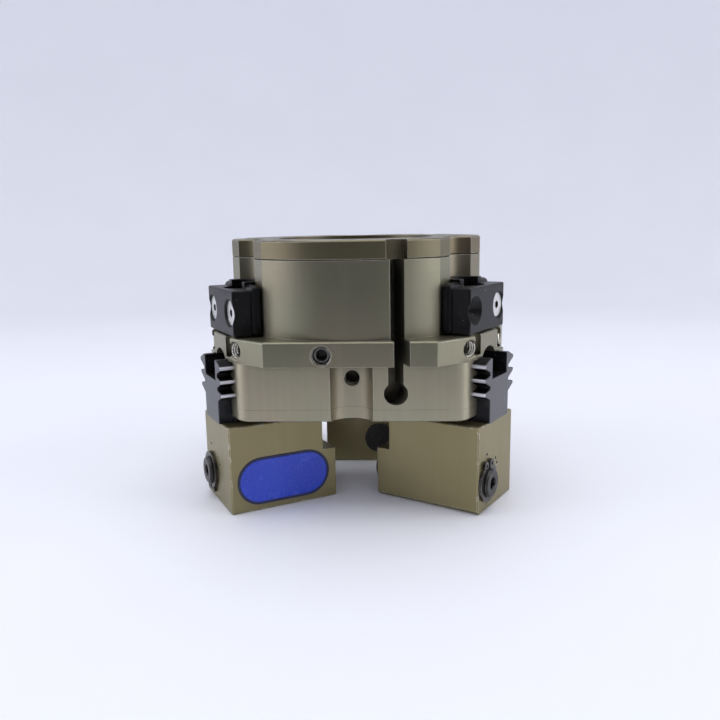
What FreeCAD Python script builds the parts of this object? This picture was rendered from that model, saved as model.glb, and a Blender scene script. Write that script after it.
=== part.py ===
import FreeCAD, Part
import os
import re

# Three-jaw centric pneumatic gripper with quick-change jaw blocks, in millimetres.
# The origin is the centre of the mounting face, +Z points out of that face, and the jaws hang below it.
# Each jaw is drawn in a jaw frame, whose +X points outwards along the jaw, and is then turned about Z.

SIZES = {
    # levels along Z, all below the mounting face
    "cover_low": -5.0, "flange_top": -25.1, "flange_low": -31.6, "housing_low": -47.0,
    "jaw_top": -31.25, "jaw_low": -48.8, "block_low": -73.3,
    # upper housing and cover outline
    "upper_radius": 35.9, "chord_flat": 33.7, "flat_half": 20.0, "niche_radius": 6.8,
    "niche_centre": 35.7,
    # flange and lower housing outline, as distances of the flat faces from the axis
    "end_face": 42.3, "front_face": 36.9, "corner_face": 42.4, "corner_turn": 20.0, "lower_end": 41.7,
    "lower_face": 32.4, "lower_round": 4.5, "edge_break": 0.35, "jaw_break": 0.15,
    # cylinder
    "bore_radius": 22.0, "bore_low": -23.8, "cavity_top": -27.1, "cavity_radius": 21.7,
    "o_ring_inner": 22.4, "rod_radius": 6.0, "running_gap": 0.05, "rod_seal_radius": 8.5,
    "rod_seal_low": -26.3, "rod_seal_high": -24.6, "seat_radius": 24.0, "seat_low": -6.4,
    "recess_radius": 22.8, "recess_low": -1.6, "piston_low": -23.7, "piston_thick": 10.0,
    "piston_groove": 19.4, "seal_width": 2.6, "seal_rise": 5.9, "seal_squeeze": 0.02,
    "magnet_rise": 1.2, "magnet_width": 3.2, "magnet_groove": 18.6, "magnet_radius": 21.6,
    # wedge hook
    "hook_low": -44.7, "hook_top": -35.3, "rib_slope": 0.75, "rib_start": 11.5, "head_depth": 2.5,
    "rib_half": 2.0, "head_half": 3.6, "hook_gap": 0.12, "hook_screw_radius": 2.5,
    "hook_screw_top": -16.5, "hook_head_radius": 4.25, "hook_head_top": -39.9, "hook_head_rise": 0.3,
    "hook_socket": 4.0, "hook_socket_deep": 2.5, "head_gap": 0.15, "stem_room": 14.0,
    # serrated base jaw
    "jaw_inner": 12.5, "jaw_outer": 45.5, "neck_half": 6.26, "tooth_half": 9.7, "tooth_tip": 0.8,
    "tooth_rise": 0.5, "tooth_drop": 2.4, "tooth_pitch": 3.7, "tooth_first": -32.6, "slide_gap": 0.06,
    "jaw_slot_half": 4.94, "jaw_slot_low": -36.85, "jaw_slot_inner": 28.0, "jaw_step_outer": 19.0,
    "jaw_step_top": -45.1, "arch_radius": 5.2, "arch_level": -34.15, "arch_inner": 29.0,
    # quick-change block
    "block_inner": 13.6, "block_outer": 44.7, "block_half": 11.45, "notch_outer": 17.5,
    "notch_low": -58.95, "block_chamfer": 1.3, "pin_s": 1.2, "pin_first": 23.5, "pin_second": 38.0,
    "pin_radius": 4.0, "pin_top": -57.8, "head_radius": 3.7, "head_seat": -53.7, "screw_radius": 2.0,
    "screw_top": -39.8, "screw_head_radius": 3.5, "screw_head": 4.0, "screw_socket": 3.0,
    "screw_socket_deep": 2.2, "sleeve_radius": 3.0, "sleeve_low": -50.6, "sleeve_top": -47.0,
    "lead_in": 0.4,
    # lock shaft
    "lock_s": -5.9, "lock_level": -65.3, "lock_radius": 4.0, "lock_end": 46.6, "lock_head_radius": 4.7,
    "lock_head": 1.0, "lock_play": 0.05, "lock_tip": 0.5, "lock_socket": 3.0, "lock_socket_deep": 3.5,
    "lock_socket_rim": 0.35, "ring_radius": 5.35, "ring_bore": 3.7, "ring_thick": 0.8, "ring_gap": 1.1,
    "lug_radius": 1.25, "lug_reach": 5.0, "lug_spread": 1.75, "lug_hole": 0.5, "dot_radius": 0.55,
    "dot_deep": 0.3, "mark_radius": 7.8, "tick_half": 0.25, "tick_rise": 1.0, "tick_long": 1.6,
    # sensor bracket and the saddle behind it
    "bracket_low": -24.8, "bracket_top": -12.7, "bracket_outer": 41.7, "bracket_half": 11.25,
    "bracket_round": 0.5, "saddle_outer": 36.75, "saddle_half": 12.4, "saddle_low": -25.0,
    "saddle_top": -11.6, "saddle_round": 1.4, "collar_radius": 6.75, "collar_inner": 28.0,
    "collar_top": -10.9, "sensor_radius": 4.7, "clamp_s": 7.7, "clamp_level": -18.7, "clamp_head": 3.3,
    "clamp_rim": 4.0, "clamp_sink": 0.65, "clamp_radius": 1.3, "clamp_hole": 1.55, "clamp_inner": 27.5,
    "clamp_socket": 2.0, "clamp_socket_deep": 1.3,
    # holes and grooves of the housing
    "groove_radius": 5.92, "groove_centre": 34.3, "groove_hole": 2.1, "groove_hole_level": -36.1,
    "groove_hole_inner": 23.0, "port_s": -7.25, "port_level": -28.7, "port_radius": 2.5,
    "port_inner": 27.5, "port_sink": 2.75, "port_sink_deep": 0.3, "plug_inner": 31.0, "plug_face": 35.0,
    "plug_bevel": 0.5, "plug_socket": 2.5, "plug_socket_rim": 1.55, "plug_socket_deep": 2.5,
    "feed_radius": 1.1, "feed_r": 23.3, "feed_top": -8.5, "feed_low_top": -21.8, "slot_turn": 19.6,
    "slot_half": 1.9, "slot_inner": 28.0, "slot_pocket": 3.0, "slot_pocket_level": -39.5,
    "slot_cover_half": 2.8, "slot_cover_inner": 33.0, "corner_hole": 2.1, "corner_rim": 0.6,
    "corner_rim_low": 42.0, "corner_rim_high": 42.6, "corner_hole_v": 4.6, "corner_hole_level": -28.4,
    "corner_hole_inner": 37.0, "corner_drill": 1.7, "corner_drill_v": 7.6, "corner_drill_r": 41.2,
    "corner_drill_low": -30.4,
    # fasteners of the cover and the centre cover
    "mount_circle": 30.0, "mount_radius": 2.1, "mount_low": -15.0, "cover_circle": 29.5,
    "cover_turn": 22.0, "cover_radius": 1.25, "cover_screw_low": -13.0, "cover_head": 2.75,
    "cover_cone": 1.6, "cover_sink": 0.3, "cover_socket": 2.0, "cover_socket_deep": 1.2,
    "cover_play": 0.1, "dust_radius": 12.5, "dust_top": -45.7, "dust_circle": 10.2, "dust_screw": 1.0,
    "dust_screw_top": -42.4, "dust_head": 1.9, "dust_cone": 0.9, "dust_socket": 1.3,
    "dust_socket_deep": 0.8, "dust_play": 0.1,
    # label
    "label_length": 27.0, "label_height": 13.4, "label_r": 29.3, "label_level": -64.9,
    "label_thick": 0.2,
}
JAWS = {"1": -30, "2": 90, "3": 210}
SECTORS = {"front": -90, "right": 30, "left": 150}
FAR = 60.0
TINY = 1e-4
SQRT3 = 3 ** 0.5

doc = FreeCAD.newDocument("pneumatic_gripper")
sheet = doc.addObject("Spreadsheet::Sheet", "Sizes")
for row, (alias, size) in enumerate(SIZES.items(), start=1):
    sheet.set(f"A{row}", alias)
    sheet.set(f"B{row}", str(size))
    sheet.setAlias(f"B{row}", alias)
doc.recompute()
nodes = []


def bind(text):
    """An expression in which every size name points at its cell."""
    return re.sub(r"[a-z_]\w*", lambda word: "Sizes." + word[0] if word[0] in SIZES else word[0], str(text))


def primitive(kind, name, sizes, at, axis=(0, 0, 1), angle=0):
    """A Part primitive whose sizes and place are bound to the sheet."""
    solid = doc.addObject(kind, name)
    for key, text in sizes.items():
        solid.setExpression(key, bind(text))
    solid.Placement = FreeCAD.Placement(FreeCAD.Vector(), FreeCAD.Rotation(FreeCAD.Vector(*axis), angle))
    for key, text in zip("xyz", at):
        solid.setExpression(f"Placement.Base.{key}", bind(text))
    return solid


def block(name, x, y, z):
    """A box between two ends along each axis."""
    sides = {key: f"({high}) - ({low})" for key, (low, high) in zip(("Length", "Width", "Height"), (x, y, z))}
    return primitive("Part::Box", name, sides, (x[0], y[0], z[0]))


def post(name, radius, z, x=0, y=0):
    """A cylinder that stands along Z."""
    sizes = {"Radius": radius, "Height": f"({z[1]}) - ({z[0]})"}
    return primitive("Part::Cylinder", name, sizes, (x, y, z[0]))


def rod(name, radius, x, y=0, z=0):
    """A cylinder that lies along X."""
    sizes = {"Radius": radius, "Height": f"({x[1]}) - ({x[0]})"}
    return primitive("Part::Cylinder", name, sizes, (x[0], y, z), (0, 1, 0), 90)


def cone(name, radii, x, y=0, z=0):
    """A cone that lies along X, from the first radius to the second."""
    sizes = {"Radius1": radii[0], "Radius2": radii[1], "Height": f"({x[1]}) - ({x[0]})"}
    return primitive("Part::Cone", name, sizes, (x[0], y, z), (0, 1, 0), 90)


def upright_cone(name, radii, z, x=0, y=0):
    """A cone that stands along Z, from the lower radius to the upper."""
    sizes = {"Radius1": radii[0], "Radius2": radii[1], "Height": f"({z[1]}) - ({z[0]})"}
    return primitive("Part::Cone", name, sizes, (x, y, z[0]))


def socket(name, across, x, y=0, z=0):
    """A hexagon socket along X."""
    solid = primitive("Part::Prism", name, {"Circumradius": f"{across} / {SQRT3}",
                      "Height": f"({x[1]}) - ({x[0]})"}, (x[0], y, z), (0, 1, 0), 90)
    solid.Polygon = 6
    return solid


def upright_socket(name, across, z, x=0, y=0):
    """A hexagon socket along Z."""
    solid = primitive("Part::Prism", name, {"Circumradius": f"{across} / {SQRT3}",
                      "Height": f"({z[1]}) - ({z[0]})"}, (x, y, z[0]))
    solid.Polygon = 6
    return solid


def triangle(name, face, turn, z):
    """A three-sided prism with its flat faces at one distance from the axis, the first facing along turn."""
    solid = primitive("Part::Prism", name, {"Circumradius": f"2 * {face}",
                      "Height": f"({z[1]}) - ({z[0]})"}, (0, 0, z[0]), (0, 0, 1), turn - 60)
    solid.Polygon = 3
    return solid


def flare(name, low, high, x, z):
    """A bar along X whose half-width goes from low to high as it rises."""
    sizes = {"Xmin": x[0], "X2min": x[0], "Xmax": x[1], "X2max": x[1],
             "Ymin": 0, "Ymax": f"({z[1]}) - ({z[0]})",
             "Zmin": f"-({low})", "Zmax": low, "Z2min": f"-({high})", "Z2max": high}
    return primitive("Part::Wedge", name, sizes, (0, 0, z[0]), (1, 0, 0), 90)


def slanted(name, x, half, z, inner_leans=True):
    """A bar whose outer X end, and inner one if asked, leans outwards with the rib slope as it rises."""
    lean = f"rib_slope * (({z[1]}) - ({z[0]}))"
    sizes = {"Xmin": x[0], "Xmax": x[1], "X2min": f"{x[0]} + {lean}" if inner_leans else x[0],
             "X2max": f"{x[1]} + {lean}", "Ymin": 0, "Ymax": f"({z[1]}) - ({z[0]})",
             "Zmin": f"-({half})", "Zmax": half, "Z2min": f"-({half})", "Z2max": half}
    return primitive("Part::Wedge", name, sizes, (0, 0, z[0]), (1, 0, 0), 90)


def fuse(name, solids, turn=0):
    """One shape from several, turned about Z."""
    if len(solids) == 1:
        result = doc.addObject("Part::Compound", name)
        result.Links = solids
    else:
        result = doc.addObject("Part::MultiFuse", name)
        result.Shapes = solids
    result.Placement = FreeCAD.Placement(FreeCAD.Vector(), FreeCAD.Rotation(FreeCAD.Vector(0, 0, 1), turn))
    return result


def common(name, solids):
    """The volume that all the solids share."""
    result = doc.addObject("Part::MultiCommon", name)
    result.Shapes = solids
    return result


def cut(name, base, tools):
    """A base with the tools taken away."""
    result = doc.addObject("Part::Cut", name)
    result.Base = base
    result.Tool = tools[0] if len(tools) == 1 else fuse(name + "_tools", tools)
    return result


def dress(kind, name, base, size, wanted):
    """Chamfer or fillet the edges of a shape that a test picks."""
    doc.recompute()
    result = doc.addObject(kind, name)
    result.Base = base
    amount = getattr(sheet, size)
    result.Edges = [(i, amount, amount) for i, edge in enumerate(base.Shape.Edges, 1) if wanted(edge)]
    return result


def level(edge, height):
    """Whether an edge lies flat at one height."""
    box = edge.BoundBox
    return abs(box.ZMin - height) < TINY and abs(box.ZMax - height) < TINY


def upright(edge):
    """Whether an edge stands along Z."""
    box = edge.BoundBox
    return box.ZLength > 1 and box.XLength < TINY and box.YLength < TINY


def finish(label, solid, turn=0):
    """Name a finished sub-part and turn it to its place."""
    solid.Label = label
    solid.Placement = FreeCAD.Placement(FreeCAD.Vector(), FreeCAD.Rotation(FreeCAD.Vector(0, 0, 1), turn))
    nodes.append(solid)


def upper_outline(name, z):
    """The round outline with a flat and a half-round niche at each jaw."""
    tools = []
    for jaw, turn in JAWS.items():
        flat = block(f"{name}_flat_{jaw}", ("chord_flat", FAR), ("-flat_half", "flat_half"), z)
        niche = post(f"{name}_niche_{jaw}", "niche_radius", z, "niche_centre")
        tools.append(fuse(f"{name}_side_{jaw}", [flat, niche], turn))
    return cut(f"{name}_outline", post(f"{name}_round", "upper_radius", z), tools)


def jaw_section(name, x, gap):
    """The serrated guide section of a jaw, widened by a gap for the housing's guideway."""
    half, tip = f"neck_half + {gap}", f"tooth_half + {gap}"
    solids = [block(f"{name}_neck", x, (f"-({half})", half), ("jaw_low", f"jaw_top + {gap}"))]
    for tooth in range(3):
        high = f"tooth_first - {tooth} * tooth_pitch + {gap}"
        low = f"tooth_first - {tooth} * tooth_pitch - tooth_tip - {gap}"
        root_high = f"{high} + tooth_rise" if tooth else f"jaw_top + {gap}"
        solids.append(block(f"{name}_tip_{tooth}", x, (f"-({tip})", tip), (low, high)))
        solids.append(flare(f"{name}_upper_{tooth}", tip, half, x, (high, root_high)))
        solids.append(flare(f"{name}_lower_{tooth}", half, tip, x, (f"{low} - tooth_drop + tooth_tip", low)))
    return fuse(f"{name}_section", solids)


def housing_side(jaw, turn):
    """What is cut from the housing along one jaw."""
    name = f"housing_{jaw}"
    way = jaw_section(name, (0, FAR), "slide_gap")
    arch = rod(f"{name}_arch", "arch_radius", ("arch_inner", FAR), 0, "arch_level")
    tools = [way, arch]
    for side, sign in (("left", 1), ("right", -1)):
        tools.append(rod(f"{name}_clamp_{side}", "clamp_radius", ("clamp_inner", FAR),
                         f"{sign} * clamp_s", "clamp_level"))
        lean = sign * SIZES["corner_turn"]
        cover_at = (f"cover_circle * cos({sign} * cover_turn)", f"cover_circle * sin({sign} * cover_turn)")
        hole = rod(f"{name}_hole_{side}", "corner_hole", ("corner_hole_inner", FAR),
                   f"-{sign} * corner_hole_v", "corner_hole_level")
        rim = cone(f"{name}_rim_{side}", ("corner_hole", "corner_hole + corner_rim"),
                   ("corner_rim_low", "corner_rim_high"), f"-{sign} * corner_hole_v", "corner_hole_level")
        drill = post(f"{name}_drill_{side}", "corner_drill", ("corner_drill_low", "flange_top"),
                     "corner_drill_r", f"-{sign} * corner_drill_v")
        tools.append(fuse(f"{name}_corner_{side}", [hole, rim, drill], lean))
        tools.append(post(f"{name}_cover_{side}", "cover_radius", ("cover_screw_low", "cover_low"),
                          *cover_at))
    return fuse(f"{name}_cuts", tools, turn)


def housing_sector(sector, turn):
    """What is cut from the housing between two jaws."""
    name = f"housing_{sector}"
    tools = [
        post(f"{name}_groove", "groove_radius", ("housing_low", "flange_low"), "groove_centre"),
        rod(f"{name}_hole", "groove_hole", ("groove_hole_inner", FAR), 0, "groove_hole_level"),
        post(f"{name}_mount", "mount_radius", ("mount_low", "cover_low"), "mount_circle"),
        post(f"{name}_dust", "dust_screw", ("dust_top", "dust_screw_top"), "dust_circle"),
        rod(f"{name}_port", "port_radius", ("port_inner", FAR), "port_s", "port_level"),
        cone(f"{name}_port_rim", ("port_radius", "port_sink"), ("front_face - port_sink_deep", "front_face"),
             "port_s", "port_level"),
        rod(f"{name}_feed_run", "feed_radius", ("feed_r", "port_inner"), "port_s", "port_level"),
        post(f"{name}_feed", "feed_radius",
             ("port_level", "feed_top" if sector == "front" else "feed_low_top"), "feed_r", "port_s"),
    ]
    slot = [
        block(f"{name}_slot", ("slot_inner", FAR), ("-slot_half", "slot_half"),
              ("slot_pocket_level", "cover_low")),
        rod(f"{name}_pocket", "slot_pocket", ("slot_inner", FAR), 0, "slot_pocket_level"),
    ]
    tools.append(fuse(f"{name}_sensor_slot", slot, SIZES["slot_turn"]))
    return fuse(f"{name}_cuts", tools, turn)


def housing():
    """The one-piece housing: cylinder above, serrated jaw guideways below."""
    upper = upper_outline("upper", ("flange_top", "cover_low"))
    flange_z = ("flange_low", "flange_top")
    flange = common("flange", [
        triangle("flange_ends", "end_face", JAWS["1"], flange_z),
        triangle("flange_fronts", "front_face", SECTORS["front"], flange_z),
        triangle("flange_corners_a", "corner_face", JAWS["1"] + SIZES["corner_turn"], flange_z),
        triangle("flange_corners_b", "corner_face", JAWS["1"] - SIZES["corner_turn"], flange_z),
    ])
    flange_broken = dress("Part::Chamfer", "flange_broken", flange, "edge_break",
                          lambda edge: level(edge, SIZES["flange_top"]))
    lower_z = ("housing_low", "flange_low")
    lower = common("lower", [
        triangle("lower_ends", "lower_end", JAWS["1"], lower_z),
        triangle("lower_fronts", "lower_face", SECTORS["front"], lower_z),
    ])
    lower_round = dress("Part::Fillet", "lower_rounded", lower, "lower_round", upright)
    lower_broken = dress("Part::Chamfer", "lower_broken", lower_round, "edge_break",
                         lambda edge: level(edge, SIZES["housing_low"]))
    blank = fuse("housing_blank", [upper, flange_broken, lower_broken])
    tools = [
        post("cylinder_bore", "bore_radius", ("bore_low", "cover_low")),
        post("cylinder_seat", "seat_radius", ("seat_low", "cover_low")),
        post("rod_hole", "rod_radius + running_gap", ("cavity_top", "bore_low")),
        post("rod_seal_groove", "rod_seal_radius", ("rod_seal_low", "rod_seal_high")),
        post("hook_cavity", "cavity_radius", ("flange_low", "cavity_top")),
        post("dust_seat", "dust_radius + running_gap", ("housing_low", "dust_top")),
    ]
    tools += [housing_side(jaw, turn) for jaw, turn in JAWS.items()]
    tools += [housing_sector(sector, turn) for sector, turn in SECTORS.items()]
    finish("housing", cut("housing_cut", blank, tools))


def cylinder_cover():
    """The plate that closes the cylinder and carries the mounting holes."""
    outline = upper_outline("cover", ("cover_low", 0))
    broken = dress("Part::Chamfer", "cover_broken", outline, "edge_break",
                   lambda edge: level(edge, 0) or level(edge, SIZES["cover_low"]))
    tools = [post("cover_recess", "recess_radius", ("recess_low", 0))]
    for jaw, turn in JAWS.items():
        holes = []
        for side, sign in (("left", 1), ("right", -1)):
            at = (f"cover_circle * cos({sign} * cover_turn)", f"cover_circle * sin({sign} * cover_turn)")
            holes.append(post(f"cover_hole_{jaw}_{side}", "cover_radius + cover_play", ("cover_low", 0), *at))
            holes.append(upright_cone(f"cover_sink_{jaw}_{side}",
                                      ("cover_radius + cover_play", "cover_head + cover_play"),
                                      ("-cover_cone - cover_sink", "-cover_sink"), *at))
            holes.append(post(f"cover_dish_{jaw}_{side}", "cover_head + cover_play", ("-cover_sink", 0), *at))
        tools.append(fuse(f"cover_holes_{jaw}", holes, turn))
    for sector, turn in SECTORS.items():
        holes = [post(f"cover_mount_{sector}", "mount_radius", ("cover_low", 0), "mount_circle")]
        tools.append(fuse(f"cover_mounts_{sector}", holes, turn))
        notch = [block(f"cover_notch_{sector}", ("slot_cover_inner", FAR),
                       ("-slot_cover_half", "slot_cover_half"), ("cover_low", 0))]
        tools.append(fuse(f"cover_notches_{sector}", notch, turn + SIZES["slot_turn"]))
    finish("cylinder_cover", cut("cover_cut", broken, tools))


def cover_fasteners():
    """The O-ring in the cylinder's seat and the countersunk screws of the cover."""
    ring = cut("cover_ring", post("cover_ring_outer", "seat_radius", ("seat_low", "cover_low")),
               [post("cover_ring_inner", "o_ring_inner", ("seat_low", "cover_low"))])
    finish("cover_o_ring", ring)
    screws = []
    for jaw, turn in JAWS.items():
        for side, sign in (("left", 1), ("right", -1)):
            at = (f"cover_circle * cos({sign} * cover_turn)", f"cover_circle * sin({sign} * cover_turn)")
            name = f"cover_screw_{jaw}_{side}"
            body = fuse(f"{name}_body", [
                post(f"{name}_shank", "cover_radius", ("cover_screw_low", "-cover_sink - cover_cone"), *at),
                upright_cone(f"{name}_head", ("cover_radius", "cover_head"),
                             ("-cover_cone - cover_sink", "-cover_sink"), *at)])
            screw = cut(name, body, [upright_socket(f"{name}_socket", "cover_socket",
                                                    ("-cover_sink - cover_socket_deep", "-cover_sink"),
                                                    *at)])
            screws.append(fuse(f"{name}_turned", [screw], turn))
    finish("cover_screws", fuse("cover_screw_set", screws))


def port_plugs():
    """Hexagon socket set screws that close the side air ports."""
    plugs = []
    for sector, turn in SECTORS.items():
        at = ("port_s", "port_level")
        plug = fuse(f"plug_body_{sector}", [
            rod(f"plug_{sector}", "port_radius", ("plug_inner", "plug_face - plug_bevel"), *at),
            cone(f"plug_end_{sector}", ("port_radius", "port_radius - plug_bevel"),
                 ("plug_face - plug_bevel", "plug_face"), *at)])
        plug_cut = cut(f"plug_cut_{sector}", plug, [
            socket(f"plug_socket_{sector}", "plug_socket",
                   ("plug_face - plug_socket_deep", "plug_face"), *at),
            cone(f"plug_socket_rim_{sector}", ("plug_socket / 2", "plug_socket_rim"),
                 ("plug_face - plug_bevel", "plug_face"), *at)])
        plugs.append(fuse(f"plug_turned_{sector}", [plug_cut], turn))
    finish("port_plugs", fuse("port_plug_set", plugs))


def rod_seal():
    """The seal ring around the piston rod."""
    z = ("rod_seal_low", "rod_seal_high")
    finish("rod_seal", cut("rod_seal_ring", post("rod_seal_outer", "rod_seal_radius", z),
                           [post("rod_seal_inner", "rod_radius + running_gap", z)]))


def centre_cover():
    """The dust cover under the wedge hook and its three small countersunk screws."""
    tools, screws = [], []
    for sector, turn in SECTORS.items():
        sink_z = ("housing_low", "housing_low + dust_cone")
        hole = [
            post(f"dust_hole_{sector}", "dust_screw + dust_play", ("housing_low", "dust_top"), "dust_circle"),
            upright_cone(f"dust_sink_{sector}", ("dust_head + dust_play", "dust_screw + dust_play"), sink_z,
                         "dust_circle")]
        tools.append(fuse(f"dust_holes_{sector}", hole, turn))
        body = fuse(f"dust_screw_body_{sector}", [
            post(f"dust_shank_{sector}", "dust_screw", ("housing_low", "dust_screw_top"), "dust_circle"),
            upright_cone(f"dust_head_{sector}", ("dust_head", "dust_screw"), sink_z, "dust_circle")])
        screw = cut(f"dust_screw_{sector}", body, [
            upright_socket(f"dust_socket_{sector}", "dust_socket",
                           ("housing_low", "housing_low + dust_socket_deep"), "dust_circle")])
        screws.append(fuse(f"dust_screw_turned_{sector}", [screw], turn))
    disc = post("dust_disc", "dust_radius", ("housing_low", "dust_top"))
    finish("centre_cover", cut("dust_cut", disc, tools))
    finish("centre_cover_screws", fuse("dust_screw_set", screws))


def clamp_holes(name, x):
    """The two screw holes of a sensor clamp."""
    return [rod(f"{name}_hole_{side}", "clamp_hole", x, f"{sign} * clamp_s", "clamp_level")
            for side, sign in (("left", 1), ("right", -1))]


def clamp_saddle(jaw, turn):
    """The rounded saddle between a bracket and the housing, with a collar that fills the niche."""
    name, x = f"saddle_{jaw}", ("chord_flat", "saddle_outer")
    pad = block(f"{name}_pad", x, ("-saddle_half", "saddle_half"), ("saddle_low", "saddle_top"))
    pillow = dress("Part::Fillet", f"{name}_pillow", pad, "saddle_round", lambda edge: True)
    collar_z = ("saddle_low", "collar_top")
    collar = common(f"{name}_collar", [
        post(f"{name}_collar_round", "collar_radius", collar_z, "niche_centre"),
        block(f"{name}_collar_part", ("collar_inner", "saddle_outer"), ("-collar_radius", "collar_radius"),
              collar_z)])
    tools = [post(f"{name}_bore", "sensor_radius", collar_z, "niche_centre")] + clamp_holes(name, x)
    finish(f"clamp_saddle_{jaw}", cut(f"{name}_cut", fuse(f"{name}_body", [pillow, collar]), tools), turn)


def sensor_bracket(jaw, turn):
    """The outer half of the clamp that holds a proximity sensor in front of the niche of one jaw."""
    name, x, z = f"bracket_{jaw}", ("saddle_outer", "bracket_outer"), ("bracket_low", "bracket_top")
    blank = block(name, x, ("-bracket_half", "bracket_half"), z)
    inner = SIZES["saddle_outer"] + TINY
    rounded = dress("Part::Fillet", f"{name}_round", blank, "bracket_round",
                    lambda edge: edge.BoundBox.XMax > inner)
    tools = [post(f"{name}_bore", "sensor_radius", z, "niche_centre")] + clamp_holes(name, x)
    for side, sign in (("left", 1), ("right", -1)):
        tools.append(cone(f"{name}_sink_{side}", ("clamp_hole", "clamp_rim"),
                          ("bracket_outer - clamp_rim + clamp_hole", "bracket_outer"),
                          f"{sign} * clamp_s", "clamp_level"))
    finish(f"sensor_bracket_{jaw}", cut(f"{name}_cut", rounded, tools), turn)


def bracket_screws(jaw, turn, signs):
    """The countersunk clamp screws of one bracket, on the sides that have one."""
    screws = []
    head_low = "bracket_outer - clamp_sink - clamp_head + clamp_radius"
    head_top = "bracket_outer - clamp_sink"
    for sign in signs:
        name, at = f"clamp_{jaw}_{signs.index(sign)}", (f"{sign} * clamp_s", "clamp_level")
        body = fuse(f"{name}_body", [
            rod(f"{name}_shank", "clamp_radius", ("clamp_inner", head_low), *at),
            cone(f"{name}_head", ("clamp_radius", "clamp_head"), (head_low, head_top), *at)])
        screws.append(cut(name, body, [socket(f"{name}_socket", "clamp_socket",
                                              (f"{head_top} - clamp_socket_deep", head_top), *at)]))
    finish(f"bracket_screws_{jaw}", fuse(f"clamp_set_{jaw}", screws), turn)


def piston():
    """The piston with its rod, seal ring, magnet ring and hook screw."""
    top = "piston_low + piston_thick"
    body = fuse("piston_body", [post("piston_disc", "bore_radius - running_gap", ("piston_low", top)),
                                post("piston_rod", "rod_radius", ("hook_top", "piston_low"))])
    grooves = []
    rings = (("seal", "seal_rise", "seal_width", "piston_groove", "bore_radius - running_gap + seal_squeeze"),
             ("magnet", "magnet_rise", "magnet_width", "magnet_groove", "magnet_radius"))
    for ring, rise, width, floor, outer in rings:
        z = (f"piston_low + {rise}", f"piston_low + {rise} + {width}")
        grooves.append(cut(f"{ring}_groove", post(f"{ring}_groove_outer", "bore_radius", z),
                           [post(f"{ring}_groove_inner", floor, z)]))
        finish(f"piston_{ring}", cut(f"{ring}_ring", post(f"{ring}_outer", outer, z),
                                     [post(f"{ring}_inner", floor, z)]))
    grooves.append(post("hook_thread", "hook_screw_radius", ("hook_top", "hook_screw_top")))
    finish("piston", cut("piston_cut", body, grooves))
    head_low = "hook_low + hook_head_rise"
    screw = fuse("hook_screw_body", [
        post("hook_screw_shank", "hook_screw_radius", ("hook_head_top", "hook_screw_top")),
        post("hook_screw_head", "hook_head_radius", (head_low, "hook_head_top"))])
    finish("hook_screw", cut("hook_screw_cut", screw, [
        upright_socket("hook_screw_socket", "hook_socket", (head_low, f"{head_low} + hook_socket_deep"))]))


def wedge_hook():
    """The hook whose three slanted T ribs draw the jaws inwards as the piston rises."""
    z = ("hook_low", "hook_top")
    ribs = []
    for jaw, turn in JAWS.items():
        stem = slanted(f"rib_stem_{jaw}", ("hook_screw_radius", "rib_start + head_gap"), "rib_half", z,
                       inner_leans=False)
        head = slanted(f"rib_head_{jaw}", ("rib_start", "rib_start + head_depth"), "head_half", z)
        ribs.append(fuse(f"rib_{jaw}", [stem, head], turn))
    body = fuse("hook_body", [post("hook_core", "rod_radius", z)] + ribs)
    finish("wedge_hook", cut("hook_cut", body, [
        post("hook_screw_seat", "hook_head_radius", ("hook_low", "hook_head_top")),
        post("hook_screw_hole", "hook_screw_radius", z)]))


def base_jaw(jaw, turn):
    """A hardened base jaw: serrated flanks, T slot for the hook, screw holes underneath."""
    name = f"jaw_{jaw}"
    body = jaw_section(name, ("jaw_inner", "jaw_outer"), 0)
    slot_z = ("jaw_low", "jaw_top")
    rib = "rib_start - rib_slope * (hook_low - jaw_low)"
    tools = [
        block(f"{name}_slot", ("jaw_slot_inner", "jaw_outer"), ("-jaw_slot_half", "jaw_slot_half"),
              ("jaw_slot_low", "jaw_top")),
        block(f"{name}_step", ("jaw_inner", "jaw_step_outer"), ("-neck_half", "neck_half"),
              ("jaw_low", "jaw_step_top")),
        slanted(f"{name}_stem_slot", (f"{rib} - stem_room", rib), "rib_half + hook_gap", slot_z),
        slanted(f"{name}_head_slot", (f"{rib} - head_gap", f"{rib} + head_depth + head_gap"),
                "head_half + hook_gap", slot_z),
    ]
    for place in ("first", "second"):
        tools.append(post(f"{name}_thread_{place}", "screw_radius", ("jaw_low", "screw_top"),
                          f"pin_{place}", "pin_s"))
        tools.append(post(f"{name}_sleeve_{place}", "sleeve_radius", ("jaw_low", "sleeve_top"),
                          f"pin_{place}", "pin_s"))
    shaped = cut(f"{name}_cut", body, tools)
    broken = dress("Part::Chamfer", f"{name}_broken", shaped, "jaw_break",
                   lambda edge: (edge.BoundBox.XMin > SIZES["jaw_outer"] - TINY
                                 and edge.BoundBox.ZMax > SIZES["jaw_low"] + TINY))
    finish(f"base_jaw_{jaw}", broken, turn)


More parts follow.
